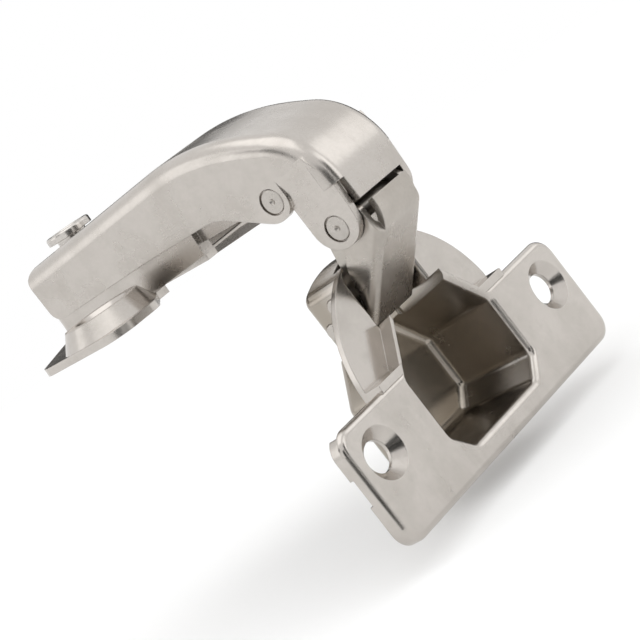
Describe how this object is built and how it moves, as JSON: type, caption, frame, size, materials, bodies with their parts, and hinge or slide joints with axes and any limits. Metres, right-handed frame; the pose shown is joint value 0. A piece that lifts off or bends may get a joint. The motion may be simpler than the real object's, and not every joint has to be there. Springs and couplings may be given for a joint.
{
  "type": "concealed cabinet hinge",
  "caption": "Concealed cup hinge with a humped channel arm, a linked drawn cup with a T-shaped flange and a slide-on butterfly mounting plate.",
  "frame": {"origin": "midway between the two panel screw holes, on the underside of the mounting plate", "axes": "+Z away from the cabinet side panel, +X from the arm's slotted rear to its humped front, +Y along the pivot pins"},
  "size_m": [0.0664, 0.06, 0.0582],
  "materials": {
    "nickel_plated_sheet": "satin nickel plating on pressed steel sheet",
    "nickel_plated_cup": "satin nickel plating on drawn steel sheet",
    "nickel_plated_screw": "brighter nickel plating on a headed steel screw",
    "peened_steel": "turned steel pin with peened or set ends",
    "spring_steel": "plain spring steel strip"
  },
  "bodies": {
    "plate": {"mounting_plate": "nickel_plated_sheet", "lock_screw": "nickel_plated_screw"},
    "side_screw": {"side_screw": "nickel_plated_screw"},
    "arm": {"hinge_arm": "nickel_plated_sheet", "inner_link_rivet": "peened_steel", "outer_link_rivet": "peened_steel", "closing_spring": "spring_steel"},
    "outer_link": {"outer_link": "nickel_plated_sheet"},
    "cup": {"cup": "nickel_plated_cup", "inner_cup_pin": "peened_steel", "outer_cup_pin": "peened_steel"},
    "inner_link": {"inner_link": "nickel_plated_sheet"}
  },
  "joints": [
    {"name": "depth_slide", "type": "slide", "parent": "plate", "child": "side_screw", "axis": [1, 0, 0], "range_m": [-0.002, 0.002]},
    {"name": "side_tilt", "type": "hinge", "parent": "side_screw", "child": "arm", "pos_m": [-0.0204, 0, 0.0102], "axis": [0, 1, 0], "range_deg": [-1, 1.8]},
    {"name": "outer_link_turn", "type": "hinge", "parent": "arm", "child": "outer_link", "pos_m": [0.03861, 0, -0.00345], "axis": [0, 1, 0], "range_deg": [0, 17.5]},
    {"name": "cup_turn", "type": "hinge", "parent": "outer_link", "child": "cup", "pos_m": [0.02789, 0, -0.01583], "axis": [0, 1, 0], "range_deg": [-107.45, 0]},
    {"name": "inner_link_turn", "type": "hinge", "parent": "cup", "child": "inner_link", "pos_m": [0.03063, 0, -0.01278], "axis": [0, 1, 0], "range_deg": [0, 123.2]}
  ],
  "couplings": [
    {"joint": "outer_link_turn", "follows": "cup_turn", "ratio": -0.1624},
    {"joint": "inner_link_turn", "follows": "cup_turn", "ratio": -1.1462}
  ]
}
